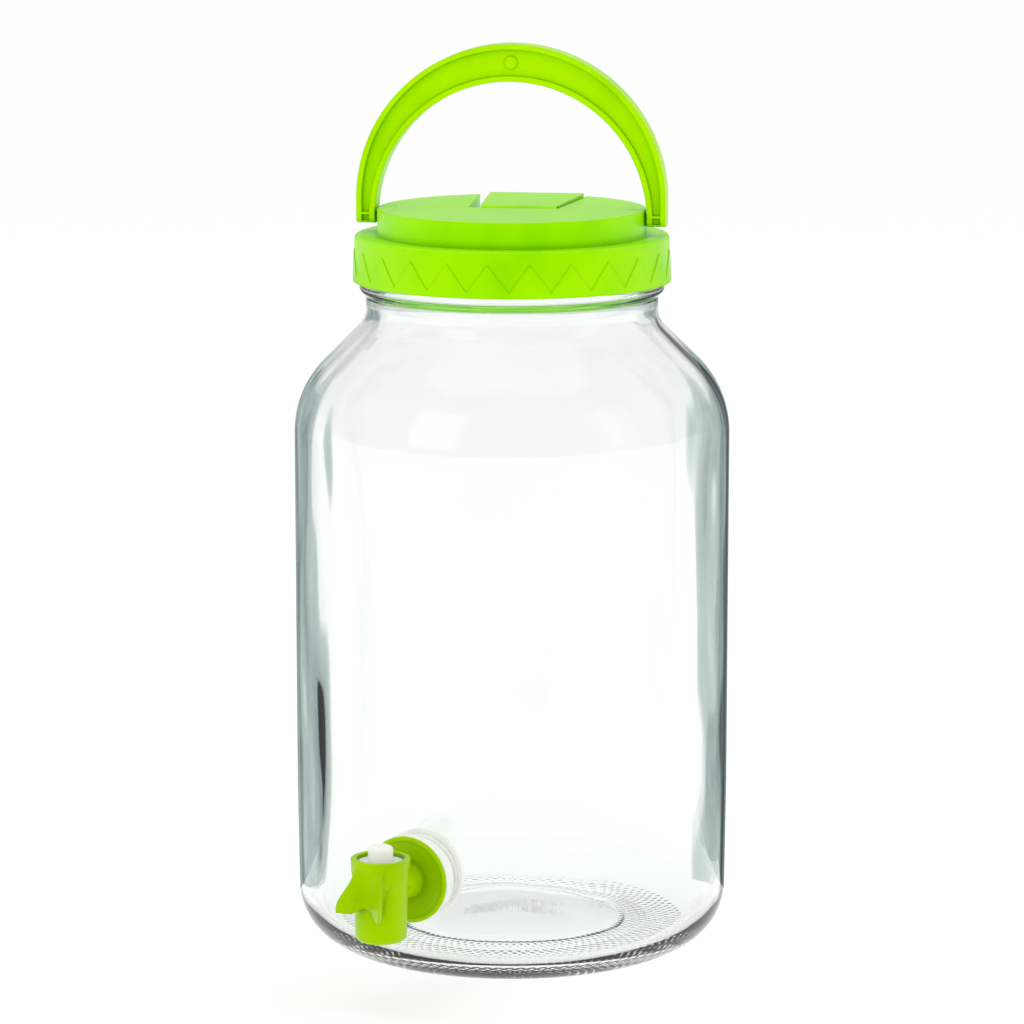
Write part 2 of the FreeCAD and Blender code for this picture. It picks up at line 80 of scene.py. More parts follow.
class DispenserGlass(bpy.types.PropertyGroup):
    body_radius: length("Body radius", "Outer radius of the straight wall", 82.5 * MM)
    wall: length("Wall", "Glass thickness of wall, shoulder and neck", 4 * MM)
    base: length("Base", "Glass thickness of the base", 7.5 * MM)
    foot_radius: length("Foot radius", "Radius where the heel meets the foot", 60 * MM)
    foot_width: length("Foot width", "Width of the flat foot ring", 8 * MM)
    heel_radius: length("Heel radius", "Radius of the heel's curve", 22 * MM)
    push_up: length("Push-up", "Rise of the base's middle", 6 * MM)
    shoulder_height: length("Shoulder height", "Height where the wall turns in", 197.5 * MM)
    shoulder_radius: length("Shoulder radius", "Radius of the shoulder's curve", 39 * MM)
    neck_radius: length("Neck radius", "Outer radius of the neck", 55.4 * MM)
    neck_fillet: length("Neck fillet", "Hollow radius under the neck", 10 * MM)
    neck_height: length("Neck height", "Straight neck below the bead", 5.7 * MM)
    bead_height: length("Bead height", "Height of the bead ring", 4.8 * MM)
    bead_proud: length("Bead proud", "How far the bead stands out", 2.3 * MM)
    waviness: length("Waviness", "Unevenness of the blown inner wall", 0.6 * MM)
    dot_height: length("Dot height", "Height of the grip dots under the base", 0.6 * MM)
    dot_pitch: length("Dot rows", "Distance between rows of dots", 2.85 * MM)
    dot_start: length("Dots from", "Inner radius of the dotted ring", 41 * MM)
    dots_round: bpy.props.IntProperty(
        name="Dots per ring", description="Dots in each ring", default=100, min=12
    )
    steps: bpy.props.IntProperty(name="Steps", description="Faces round the glass", default=400, min=24)
    tint: colour("Tint", "Colour of the glass", (0.965, 0.985, 0.975))


class DispenserLid(bpy.types.PropertyGroup):
    lime: colour("Lime", "Colour of lid, flap and handle", (0.345, 0.82, 0.0))
    shade: colour("Lime shade", "Deeper streaks in the lime", (0.275, 0.74, 0.0))
    handle: colour("Handle lime", "Colour of the bail handle", (0.425, 0.83, 0.0))
    handle_shade: colour("Handle shade", "Deeper streaks in the handle", (0.36, 0.76, 0.0))
    edge: length("Edge rounding", "Softness of the moulded edges", 0.75 * MM)


class DispenserTap(bpy.types.PropertyGroup):
    lime: colour("Tap lime", "Colour of the tap", (0.36, 0.60, 0.0))
    shade: colour("Tap shade", "Deeper streaks in the tap", (0.29, 0.53, 0.0))
    white: colour("White", "Colour of button, washers and nut", (0.86, 0.87, 0.83))
    axis_height: length("Axis height", "Height of the tap's axis", 42.8 * MM)
    barrel_out: length("Barrel axis", "Distance of the barrel's axis from the jar's", 109 * MM)
    barrel_radius: length("Barrel radius", "Radius of the barrel at its foot", 9.45 * MM)
    rim_radius: length("Rim radius", "Radius of the barrel's rim", 10.9 * MM)
    flange_radius: length("Flange radius", "Radius of the dished flange", 16.3 * MM)
    wing_reach: length("Wing reach", "Reach of the finger wings from the barrel's axis", 20.6 * MM)
    wing_turn: angle("Wing turn", "Turn of each wing from the tap's axis", 25)


class DispenserStage(bpy.types.PropertyGroup):
    floor_size: length("Floor size", "Side of the floor", 60.0)
    distance: length("Camera distance", "Camera's distance from the jar's axis", 1.64)
    height: length("Camera height", "Camera's height above the floor", 0.462)
    turn: angle("Camera turn", "Camera's turn from the tap's side", 26)
    pitch: angle("Camera pitch", "Camera's downward tilt", 10.23)
    lens: bpy.props.FloatProperty(name="Lens", description="Focal length for a 36 mm sensor", default=153.7)


# ---------------------------------------------------------------- shapes

def arc(centre, radius, start, end, count):
    """Points of an arc in the (r, z) plane, in millimetres, angles in degrees."""
    points = []
    for index in range(count + 1):
        a = math.radians(start + (end - start) * index / count)
        points.append((centre[0] + radius * math.cos(a), centre[1] + radius * math.sin(a)))
    return points


def row(start, end, count):
    """Points on a straight line, the first one left out."""
    return [
        (start[0] + (end[0] - start[0]) * k / count, start[1] + (end[1] - start[1]) * k / count)
        for k in range(1, count + 1)
    ]


def turned(points, steps, closed=True):
    """A bmesh spun about +Z from (r, z) points in millimetres."""
    bm = bmesh.new()
    verts = [bm.verts.new((r * MM, 0, z * MM)) for r, z in points]
    edges = [bm.edges.new(pair) for pair in zip(verts, verts[1:])]
    if closed:
        edges.append(bm.edges.new((verts[-1], verts[0])))
    bmesh.ops.spin(
        bm, geom=verts + edges, cent=(0, 0, 0), axis=(0, 0, 1), angle=2 * math.pi, steps=steps, use_merge=True
    )
    bmesh.ops.remove_doubles(bm, verts=bm.verts, dist=1e-6)
    bmesh.ops.recalc_face_normals(bm, faces=bm.faces)
    return bm


def made(name, bm, sharp=35.0):
    """Object from a bmesh, smooth but for edges sharper than an angle."""
    mesh = bpy.data.meshes.new(name)
    bm.to_mesh(mesh)
    bm.free()
    piece = bpy.data.objects.new(name, mesh)
    bpy.context.scene.collection.objects.link(piece)
    smoothed(piece, sharp)
    return piece


def smoothed(piece, sharp):
    piece.data.polygons.foreach_set("use_smooth", [True] * len(piece.data.polygons))
    piece.data.set_sharp_from_angle(angle=math.radians(sharp))


def joined(piece, other, operation, sharp=35.0):
    """Joins or cuts piece with another object, which is used up."""
    step = piece.modifiers.new("joined", "BOOLEAN")
    step.operation = operation
    step.solver = "EXACT"
    step.object = other
    shown = piece.evaluated_get(bpy.context.evaluated_depsgraph_get())
    mesh = bpy.data.meshes.new_from_object(shown)
    piece.modifiers.remove(step)
    if len(mesh.polygons) < 4:
        raise RuntimeError("joining %s to %s left nothing" % (other.name, piece.name))
    piece.data = mesh
    bpy.data.objects.remove(other)
    smoothed(piece, sharp)


def finished(piece, material, body, slot, *nodes):
    """Gives a piece its material and its body, and hides the CAD nodes it stands for; the slot argument is
    not used.
    """
    piece.data.materials.clear()
    piece.data.materials.append(material)
    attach(piece, body)
    if nodes:
        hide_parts(*nodes)


def repainted(name, material):
    """Puts a material on a CAD node that is kept as it is."""
    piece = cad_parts[name]
    if not piece.material_slots:
        piece.data.materials.append(material)
    for place in piece.material_slots:
        place.material = material


# ------------------------------------------------------------- materials

def new_material(name):
    material = bpy.data.materials.new(name)
    material.use_nodes = True
    tree = material.node_tree
    return material, tree, tree.nodes["Principled BSDF"]


def noise_node(tree, vector, scale, detail):
    node = tree.nodes.new("ShaderNodeTexNoise")
    node.inputs["Scale"].default_value = scale
    node.inputs["Detail"].default_value = detail
    tree.links.new(vector, node.inputs["Vector"])
    return node


def ramp(tree, value, stops):
    node = tree.nodes.new("ShaderNodeValToRGB")
    node.color_ramp.elements[0].position = stops[0][0]
    node.color_ramp.elements[0].color = (*stops[0][1], 1)
    node.color_ramp.elements[1].position = stops[-1][0]
    node.color_ramp.elements[1].color = (*stops[-1][1], 1)
    for position, tone in stops[1:-1]:
        element = node.color_ramp.elements.new(position)
        element.color = (*tone, 1)
    tree.links.new(value, node.inputs["Fac"])
    return node


def span(tree, value, low, high, to_low, to_high):
    node = tree.nodes.new("ShaderNodeMapRange")
    node.inputs["From Min"].default_value = low
    node.inputs["From Max"].default_value = high
    node.inputs["To Min"].default_value = to_low
    node.inputs["To Max"].default_value = to_high
    tree.links.new(value, node.inputs["Value"])
    return node.outputs["Result"]


def maths(tree, operation, first, second):
    node = tree.nodes.new("ShaderNodeMath")
    node.operation = operation
    for socket, value in zip(node.inputs, (first, second)):
        if isinstance(value, (int, float)):
            socket.default_value = value
        else:
            tree.links.new(value, socket)
    return node.outputs[0]


def blended(tree, share, first, second):
    """Colour between two colours or colour sockets."""
    node = tree.nodes.new("ShaderNodeMix")
    node.data_type = "RGBA"
    tree.links.new(share, node.inputs[0])
    for socket, tone in ((node.inputs[6], first), (node.inputs[7], second)):
        if isinstance(tone, tuple):
            socket.default_value = (*tone, 1)
        else:
            tree.links.new(tone, socket)
    return node.outputs[2]


def moulded(name, main, deep, edge, rough=0.34, specular=0.35, seam=None, hollow=0.004, above=0):
    """Moulded coloured plastic: flow streaks, painted shade darkening the colour in hollows, orange peel,
    soft edges and a seam.
    """
    material, tree, shader = new_material(name)
    where = tree.nodes.new("ShaderNodeTexCoord").outputs["Object"]
    stretched = tree.nodes.new("ShaderNodeMapping")
    stretched.inputs["Scale"].default_value = (1, 0.35, 0.6)
    stretched.inputs["Rotation"].default_value = (0, 0, SEAT)
    tree.links.new(where, stretched.inputs["Vector"])
    flow = noise_node(tree, stretched.outputs["Vector"], 45, 4)
    tone = ramp(tree, flow.outputs["Fac"], [(0.3, deep), (0.52, main), (0.8, main)])
    split = tree.nodes.new("ShaderNodeSeparateXYZ")
    tree.links.new(where, split.inputs["Vector"])
    # Painted shade: ambient occlusion within the distance hollow darkens the base colour in hollows and
    # junctions, but not below the height above.
    painted_shade_ao = tree.nodes.new("ShaderNodeAmbientOcclusion")
    painted_shade_ao.samples = 6
    painted_shade_ao.inputs["Distance"].default_value = hollow
    below_painted_shade = span(tree, split.outputs["Z"], above, above + MM, 1, 0)
    free_of_painted_shade = maths(tree, "MAXIMUM", span(tree, painted_shade_ao.outputs["AO"], 0.3, 0.85, 0, 1), below_painted_shade)
    # The painted shade colour is the streak colour deep, made darker.
    with_painted_shade = blended(tree, free_of_painted_shade, (deep[0] * 0.55, deep[1] * 0.6, deep[2]), tone.outputs["Color"])
    tree.links.new(with_painted_shade, shader.inputs["Base Color"])
    sheen = span(tree, flow.outputs["Fac"], 0.3, 0.7, rough - 0.05, rough + 0.06)
    tree.links.new(sheen, shader.inputs["Roughness"])
    peel = noise_node(tree, where, 1100, 2)
    height = peel.outputs["Fac"]
    if seam is not None:
        off = maths(tree, "ABSOLUTE", maths(tree, "SUBTRACT", split.outputs["Z"], seam), 0)
        line = span(tree, off, 0.00008, 0.00022, 4, 0)
        height = maths(tree, "ADD", height, line)
    bump = tree.nodes.new("ShaderNodeBump")
    bump.inputs["Strength"].default_value = 0.25
    bump.inputs["Distance"].default_value = 0.00006
    tree.links.new(height, bump.inputs["Height"])
    soft = tree.nodes.new("ShaderNodeBevel")
    soft.samples = 6
    soft.inputs["Radius"].default_value = edge
    tree.links.new(soft.outputs["Normal"], bump.inputs["Normal"])
    tree.links.new(bump.outputs["Normal"], shader.inputs["Normal"])
    shader.inputs["Specular IOR Level"].default_value = specular
    shader.inputs["Specular Tint"].default_value = (main[0], main[1], 0, 1)
    shader.inputs["Subsurface Weight"].default_value = 0.08
    shader.inputs["Subsurface Radius"].default_value = (0.6, 1.0, 0.1)
    shader.inputs["Subsurface Scale"].default_value = 0.002
    return material


def milky(name, main, rough, grain, edge):
    """Natural white plastic or silicone that lets a little light through."""
    material, tree, shader = new_material(name)
    where = tree.nodes.new("ShaderNodeTexCoord").outputs["Object"]
    cloud = noise_node(tree, where, 120, 3)
    dull = tuple(value * 0.93 for value in main)
    tone = ramp(tree, cloud.outputs["Fac"], [(0.3, dull), (0.6, main)])
    tree.links.new(tone.outputs["Color"], shader.inputs["Base Color"])
    sheen = span(tree, cloud.outputs["Fac"], 0.3, 0.7, rough - 0.06, rough + 0.08)
    tree.links.new(sheen, shader.inputs["Roughness"])
    fine = noise_node(tree, where, grain, 2)
    bump = tree.nodes.new("ShaderNodeBump")
    bump.inputs["Strength"].default_value = 0.2
    bump.inputs["Distance"].default_value = 0.00005
    tree.links.new(fine.outputs["Fac"], bump.inputs["Height"])
    soft = tree.nodes.new("ShaderNodeBevel")
    soft.samples = 6
    soft.inputs["Radius"].default_value = edge
    tree.links.new(soft.outputs["Normal"], bump.inputs["Normal"])
    tree.links.new(bump.outputs["Normal"], shader.inputs["Normal"])
    shader.inputs["Specular IOR Level"].default_value = 0.35
    shader.inputs["Subsurface Weight"].default_value = 0.35
    shader.inputs["Subsurface Radius"].default_value = (1, 0.95, 0.85)
    shader.inputs["Subsurface Scale"].default_value = 0.003
    return material


def clear_glass(name, tint):
    """Pressed soda-lime glass with a faint cast and slow ripples in its surface."""
    material, tree, shader = new_material(name)
    where = tree.nodes.new("ShaderNodeTexCoord").outputs["Object"]
    cast = noise_node(tree, where, 9, 2)
    pale = tuple(min(1, value + 0.012) for value in tint)
    tone = ramp(tree, cast.outputs["Fac"], [(0.35, tint), (0.65, pale)])
    tree.links.new(tone.outputs["Color"], shader.inputs["Base Color"])
    long = tree.nodes.new("ShaderNodeMapping")
    long.inputs["Scale"].default_value = (1, 1, 0.3)
    tree.links.new(where, long.inputs["Vector"])
    ripple = noise_node(tree, long.outputs["Vector"], 38, 1)
    bump = tree.nodes.new("ShaderNodeBump")
    bump.inputs["Strength"].default_value = 0.3
    bump.inputs["Distance"].default_value = 0.00012
    tree.links.new(ripple.outputs["Fac"], bump.inputs["Height"])
    tree.links.new(bump.outputs["Normal"], shader.inputs["Normal"])
    shader.inputs["Roughness"].default_value = 0
    shader.inputs["IOR"].default_value = 1.5
    shader.inputs["Transmission Weight"].default_value = 1
    return material


def drawn_steel(name):
    material, tree, shader = new_material(name)
    where = tree.nodes.new("ShaderNodeTexCoord").outputs["Object"]
    along = tree.nodes.new("ShaderNodeMapping")
    along.inputs["Rotation"].default_value = (0, 0, -SEAT)
    along.inputs["Scale"].default_value = (0.1, 1, 1)
    tree.links.new(where, along.inputs["Vector"])
    lines = noise_node(tree, along.outputs["Vector"], 4000, 2)
    tone = ramp(tree, lines.outputs["Fac"], [(0.3, (0.42, 0.42, 0.43)), (0.7, (0.66, 0.66, 0.66))])
    tree.links.new(tone.outputs["Color"], shader.inputs["Base Color"])
    tree.links.new(span(tree, lines.outputs["Fac"], 0.3, 0.7, 0.22, 0.4), shader.inputs["Roughness"])
    shader.inputs["Metallic"].default_value = 1
    return material


# ----------------------------------------------------------------- glass

def wall_line(g, inset):
    """Wall, shoulder and neck of the jar in millimetres, moved inwards by inset."""
    body, shoulder, top = g.body_radius / MM, g.shoulder_radius / MM, g.shoulder_height / MM
    neck = g.neck_radius / MM - inset
    centre = (body - shoulder, top)
    curve = arc(centre, shoulder - inset, 0, 45, 14)
    hollow = g.neck_fillet / MM + inset
    tangent = hollow * math.tan(math.radians(22.5))
    corner_z = curve[-1][1] + curve[-1][0] - neck
    fillet = arc((neck + hollow, corner_z + tangent), hollow, 225, 180, 7)
    return curve + row(curve[-1], fillet[0], 5)[:-1] + fillet


def outer_line(g):
    foot, width, heel = g.foot_radius / MM, g.foot_width / MM, g.heel_radius / MM
    rise, body = g.push_up / MM, g.body_radius / MM
    inside = foot - width
    cap = (inside ** 2 + rise ** 2) / (2 * rise)
    start, step = g.dot_start / MM, g.dot_pitch / MM / 4
    radii = [0, 4, 9, 15, 21, 27, 32, 36, 39]
    radii += [start + step * k for k in range(int((foot - start) / step) + 1)]
    points = []
    for r in radii:
        points.append((r, max(0.0, rise - cap + math.sqrt(cap ** 2 - r ** 2)) if r < inside else 0.0))
    left = foot - radii[-1]
    angle = -90 + math.degrees((step - left) / heel)
    while angle < -66:
        a = math.radians(angle)
        points.append((foot + heel * math.cos(a), heel + heel * math.sin(a)))
        angle += math.degrees(step / heel)
    points += arc((foot, heel), heel, angle, 0, 12)
    points += row(points[-1], (body, heel + 40), 4)
    points += row(points[-1], (body, g.shoulder_height / MM), 8)[:-1]
    return points


def finish_line(g, top):
    """Bead, thread wall and rounded lip, from the neck's outside to its inside."""
    neck = g.neck_radius / MM
    low = wall_line(g, 0)[-1][1] + g.neck_height / MM
    high = low + g.bead_height / MM
    proud = g.bead_proud / MM
    points = [(neck, low - 1.2), (neck + 0.12, low - 0.5), (neck + 0.5, low - 0.05)]
    middle, half = (low + high) / 2, (high - low) / 2 - 0.25
    for k in range(9):
        a = math.radians(-70 + 140 * k / 8)
        points.append((neck + 0.4 + (proud - 0.4) * math.cos(a), middle + half * math.sin(a)))
    out = neck - 1
    points += [(out + 0.4, high - 0.05), (out + 0.05, high + 0.25), (out, high + 0.9)]
    points += arc((out - 2.1, top - 2.1), 2.1, 0, 180, 12)
    return points, out - 4.2, low, middle


def jar_mesh(g):
    """Outer line and bmesh of the glass, from the base's outside round to its inside."""
    low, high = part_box("glass_jar")
    top = high[2] / MM
    rim, mouth, neck_top, bead_mid = finish_line(g, top)
    outer = outer_line(g) + wall_line(g, 0) + rim
    wall, base = g.wall / MM, g.base / MM
    inner_heel = g.heel_radius / MM - base
    centre = (g.foot_radius / MM + base - wall, g.heel_radius / MM)
    inner = [(mouth, bead_mid + 1.5), (mouth + 0.3, bead_mid), (g.neck_radius / MM - wall, neck_top - 1.5)]
    inner += wall_line(g, wall)[::-1]
    inner += row(inner[-1], (g.body_radius / MM - wall, centre[1] + 40), 34)
    inner += row(inner[-1], (centre[0] + inner_heel, centre[1]), 9)
    inner += arc(centre, inner_heel, 0, -90, 12)[1:]
    inner += [(58, base), (52, base + 0.02), (45, base + 0.9), (36, base + 2.5), (26, base + 4.2)]
    inner += [(15, base + 5.4), (6, base + 5.95), (0, base + 6)]
    return outer, turned(outer + inner, g.steps, closed=False)


def radius_at(line, z):
    """Radius of a line of (r, z) points at a height."""
    for (r0, z0), (r1, z1) in zip(line, line[1:]):
        if min(z0, z1) <= z <= max(z0, z1) and z0 != z1:
            return r0 + (r1 - r0) * (z - z0) / (z1 - z0)
    return line[-1][0]


def with_dots(bm, g):
    """Sinks the glass between the grip dots; the dots' tips stay on the foot."""
    start, end = g.dot_start, g.dot_start + 9.5 * g.dot_pitch
    foot, heel = g.foot_radius, g.heel_radius
    for v in bm.verts:
        r = math.hypot(v.co.x, v.co.y)
        if v.co.z > 3 * MM or r < start - MM or r > end + 2 * MM:
            continue
        turn = math.atan2(v.co.y, v.co.x)
        along = r if r < foot else foot + heel * math.asin(min(1, (r - foot) / heel))
        u = (along - start) / (2 * g.dot_pitch)
        peak = math.cos(2 * math.pi * u) * math.cos(turn * g.dots_round)
        dot = min(1, max(0, 1.5 * peak + 0.12))
        fade = min(1, max(0, (along - start) / (1.5 * MM))) * min(1, max(0, (end - along) / (1.5 * MM)))
        depth = g.dot_height * (1 - dot) * fade
        if r > foot:
            a = (along - foot) / heel
            v.co.x -= depth * math.sin(a) * v.co.x / r
            v.co.y -= depth * math.sin(a) * v.co.y / r
            v.co.z += depth * math.cos(a)
        else:
            v.co.z += depth


def with_ripples(bm, g, outer):
    """Slow unevenness of the inner wall, none at the base and the neck."""
    wall = g.wall
    for v in bm.verts:
        z = v.co.z
        if z < 16 * MM or z > 248 * MM:
            continue
        r = math.hypot(v.co.x, v.co.y)
        if r > radius_at(outer, z / MM) * MM - wall * 0.6:
            continue
        way = Vector((v.co.x / r, v.co.y / r, 0))
        slow = noise.noise(Vector((way.x * 2.6, way.y * 2.6, z * 9)) + Vector((3.1, 7.7, 1.3)))
        quick = noise.noise(Vector((way.x * 7, way.y * 7, z * 22)) + Vector((11.3, 2.9, 5.1)))
        fade = min(1, (z / MM - 16) / 22) * min(1, (248 - z / MM) / 18)
        v.co += way * g.waviness * fade * (slow * 1.5 + quick * 0.45)


def thread_ridge(g, z):
    """Screw ridge on the finish: one and a quarter right-hand turns."""
    bm = bmesh.new()
    out = g.neck_radius / MM - 1
    corners = [(out - 0.5, -1), (out + 1.45, -0.45), (out + 1.7, 0), (out + 1.45, 0.45), (out - 0.5, 1)]
    face = bm.faces.new([bm.verts.new((r * MM, 0, (z + dz) * MM)) for r, dz in corners])
    steps = 140
    bmesh.ops.spin(
        bm, geom=list(face.verts) + list(face.edges) + [face], cent=(0, 0, 0), axis=(0, 0, 1),
        dvec=(0, 0, THREAD_PITCH * THREAD_TURNS / steps), angle=2 * math.pi * THREAD_TURNS, steps=steps
    )
    bmesh.ops.recalc_face_normals(bm, faces=bm.faces)
    return made("thread_ridge", bm)


class OBJECT_OT_dispenser_glass(bpy.types.Operator):
    """Builds the glass jar with its dotted base, bead, thread and tap hole"""
    bl_idname = "object.dispenser_glass"
    bl_label = "Glass jar"

    def execute(self, context):
        g = context.scene.dispenser_glass
        t = context.scene.dispenser_tap
        outer, bm = jar_mesh(g)
        with_dots(bm, g)
        with_ripples(bm, g, outer)
        jar = made("jar_glass", bm, 40)
        bead_top = wall_line(g, 0)[-1][1] + (g.neck_height + g.bead_height) / MM
        joined(jar, thread_ridge(g, bead_top + 4.3), "UNION", 40)
        cutter = bmesh.new()
        place = Matrix.Translation((0, -g.body_radius, t.axis_height)) @ Matrix.Rotation(math.pi / 2, 4, "X")
        bmesh.ops.create_cone(
            cutter, cap_ends=True, segments=96, radius1=TAP_HOLE, radius2=TAP_HOLE,
            depth=40 * MM, matrix=place
        )
        joined(jar, made("hole_cutter", cutter), "DIFFERENCE", 40)
        finished(jar, clear_glass("pressed_glass", tuple(g.tint)), "jar", "glass", "glass_jar")
        jar.visible_shadow = False
        jar.visible_diffuse = False
        return {"FINISHED"}


# ------------------------------------------------------------------- lid

class OBJECT_OT_dispenser_lid(bpy.types.Operator):
    """Finishes the screw lid, pour flap, bail handle, gasket and hinge pin"""
    bl_idname = "object.dispenser_lid"
    bl_label = "Lid, flap and handle"

    def execute(self, context):
        s = context.scene.dispenser_lid
        t = context.scene.dispenser_tap
        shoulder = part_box("lid")[1][2] - SHOULDER_DROP
        # Painted shade in the lid's hollows only above the shoulder, so the skirt's relief stays unshaded.
        lime = moulded("lime_polypropylene", tuple(s.lime), tuple(s.shade), s.edge, above=shoulder)
        for name in ("lid", "pour_flap"):
            repainted(name, lime)
        # hollow sets how far the painted shade in the handle's hollows reaches.
        grip = moulded("handle_polypropylene", tuple(s.handle), tuple(s.handle_shade), s.edge, hollow=MM)
        repainted("handle", grip)
        repainted("flap_hinge_pin", drawn_steel("hinge_wire"))
        repainted("lid_gasket", milky("gasket_silicone", tuple(t.white), 0.5, 500, 0.3 * MM))
        return {"FINISHED"}


# ------------------------------------------------------------------- tap

def outward(bm, t):
    """Turns a bmesh spun about +Z so that its axis is the tap's, +Z to -Y."""
    bmesh.ops.rotate(bm, verts=bm.verts, cent=(0, 0, 0), matrix=Matrix.Rotation(math.pi / 2, 3, "X"))
    bmesh.ops.translate(bm, verts=bm.verts, vec=(0, 0, t.axis_height))
    return bm


def over_barrel(bm, t):
    bmesh.ops.translate(bm, verts=bm.verts, vec=(0, -t.barrel_out, 0))
    return bm


def flange_and_shank(t):
    """Dished flange with its tube to the barrel and its shank through the glass."""
    rim = t.flange_radius / MM
    front, back, end = 89.0, 87.3, 66.35
    points = [(4.2, end + 0.4), (4.6, end), (7.2, end), (7.6, end + 0.4), (7.6, 84.9), (8.2, 84.95)]
    points += [(12.2, 86.2), (rim - 0.5, back - 0.1)]
    points += arc((rim - 0.75, front - 0.75), 0.75, -20, 90, 7)
    points += arc((rim - 1.3, front - 0.5), 0.5, 90, 160, 4)
    depth = 2.0
    for k in range(1, 13):
        share = k / 12
        r = rim - 1.9 - (rim - 1.9 - 7.3) * share
        points.append((r, front - 0.35 - (depth - 0.35) * math.sin(share * math.pi / 2) ** 0.8))
    points += [(7.1, 87.3), (7.05, 88.4), (6.9, 89.6), (6.6, 90.8), (6.3, 91.7), (6.3, 101.5), (4.2, 101.5)]
    return made("tap_shell", outward(turned(points, 128), t))


def barrel(t):
    foot, rim = t.barrel_radius / MM, t.rim_radius / MM
    z0, z1 = 25.2, 56.2
    points = [(6.65, z0 + 0.4), (7.05, z0)]
    points += arc((foot - 2.2, z0 + 2.2), 2.2, -88, 0, 8)
    points += [(foot + 0.14, 33), (foot + 0.3, 39), (foot + 0.5, 45), (foot + 0.72, 49.5), (foot + 1.0, 52)]
    points += [(foot + 1.25, 53.6), (rim - 0.06, 54.9)]
    points += arc((rim - 0.55, z1 - 0.55), 0.55, 0, 90, 5)
    points += arc((rim - 1.65, z1 - 0.5), 0.5, 90, 180, 4)
    points += [(rim - 2.2, z1 - 3.3), (6.65, z1 - 3.3)]
    points += [(6.65, 35.4), (4.05, 35.4), (4.05, 33.8), (6.65, 33.8)]
    return made("tap_barrel", over_barrel(turned(points, 128), t))


def wing_ring(t, level):
    """Outline round both finger wings at a level from 0, inside the rim, to 8, their lower edge."""
    reach = [10.8, 11.2, 12.3, 14.0, 16.5, 18.7, 19.9, 20.45, t.wing_reach / MM][level]
    height = [55.2, 53.3, 51.0, 48.5, 45.8, 43.4, 41.6, 39.9, 37.7][level]
    web = [10.3, 10.2, 10.15, 10.2, 10.4, 10.7, 11.0, 11.3, 11.4][level]
    root = [10.5, 10.75, 10.7, 10.4, 9.4, 8.8, 8.6, 8.5, 8.5][level]
    thick = [1.6, 1.3, 1.1, 1.0, 0.95, 0.95, 0.95, 1.0, 1.0][level]
    spread = [1, 1, 1, 0.75, 0.45, 0.3, 0.2, 0.2, 0.2][level]
    share = level / 8
    a = t.wing_turn
    along = Vector((math.sin(a), -math.cos(a), 0))
    side = Vector((math.cos(a), math.sin(a), 0))
    half = []
    for turn, r in ((75, 7), (52, root), (34, root)):
        way = a + math.radians(turn * spread)
        half.append((math.sin(way) * r, -math.cos(way) * r, height - 0.6 * share))
    back = [(0.25, 1.25, 0.6), (0.5, 1.1, 0.4), (0.86, 0.85, 0.1), (0.965, 0.5, 0), (1, 0, 0)]
    for part, off, drop in back:
        point = along * (9.9 + (reach - 9.9) * part) + side * thick * off
        half.append((point.x, point.y, height - drop * share))
    front = [(0.97, 0.15), (0.92, 0.35), (0.85, 0.5), (0.75, 0.55), (0.62, 0.1)]
    front += [(0.48, -0.8), (0.32, -1.5), (0.16, -1.85)]
    for part, drop in front:
        r = web + (reach - web) * part ** 3
        half.append((math.sin(a * part) * r, -math.cos(a * part) * r, height - drop * share))
    middle = [(0, -web, height + 1.95 * share)]
    mirrored = [(-x, y, z) for x, y, z in half[::-1]]
    ring = half + middle + mirrored
    return [Vector((x, y, z - 0.14 * x * share)) * MM for x, y, z in ring]


def finger_wings(t):
    """Two upright wings with a hollow web between them, lofted downwards."""
    bm = bmesh.new()
    first = [bm.verts.new(point) for point in wing_ring(t, 0)]
    edges = [bm.edges.new((first[k], first[(k + 1) % len(first)])) for k in range(len(first))]
    bm.faces.new(first)
    for level in range(1, 9):
        grown = bmesh.ops.extrude_edge_only(bm, edges=edges)["geom"]
        edges = [part for part in grown if isinstance(part, bmesh.types.BMEdge)]
        verts = [part for part in grown if isinstance(part, bmesh.types.BMVert)]
        here, there = wing_ring(t, level - 1), wing_ring(t, level)
        for v in verts:
            v.co = there[min(range(len(here)), key=lambda k: (here[k] - v.co).length)]
    bmesh.ops.contextual_create(bm, geom=edges)
    bmesh.ops.triangulate(bm, faces=[face for face in bm.faces if len(face.verts) > 4])
    bmesh.ops.recalc_face_normals(bm, faces=bm.faces)
    wings = made("tap_wings", over_barrel(bm, t))
    core = bmesh.new()
    bmesh.ops.create_cone(
        core, cap_ends=True, segments=96, radius1=BARREL_CORE, radius2=BARREL_CORE, depth=40 * MM,
        matrix=Matrix.Translation((0, -t.barrel_out, t.axis_height))
    )
    joined(wings, made("barrel_core", core), "DIFFERENCE", 50)
    return wings


def press_button(t):
    low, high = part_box("tap_button")
    z0, z1 = low[2] / MM, high[2] / MM
    points = [(0, z0), (1.6, z0), (1.9, z0 + 0.3), (1.9, 52.9), (4.3, 52.9), (4.62, 53.2), (4.6, z1 - 2.0)]
    points += arc((4.6 - 1.5, z1 - 0.5 - 1.5), 1.5, 0, 78, 8)[1:]
    points += [(2.6, z1 - 0.2), (1.6, z1 - 0.06), (0, z1)]
    return made("tap_nub", over_barrel(turned(points, 96, closed=False), t))


def diaphragm(t):
    """Soft white disc in the rim, a little domed towards the button."""
    low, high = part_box("tap_diaphragm")
    z0, z1 = low[2] / MM, high[2] / MM
    points = [(4.72, z0), (8.65, z0), (8.65, z1 - 0.5), (8.45, z1 - 0.28), (8.0, z1 - 0.35), (7.4, z1 - 0.62)]
    points += [(6.6, z1 - 0.6), (5.9, z1 - 0.3), (5.3, z1 - 0.08), (4.72, z1)]
    return made("tap_diaphragm_disc", over_barrel(turned(points, 96), t))


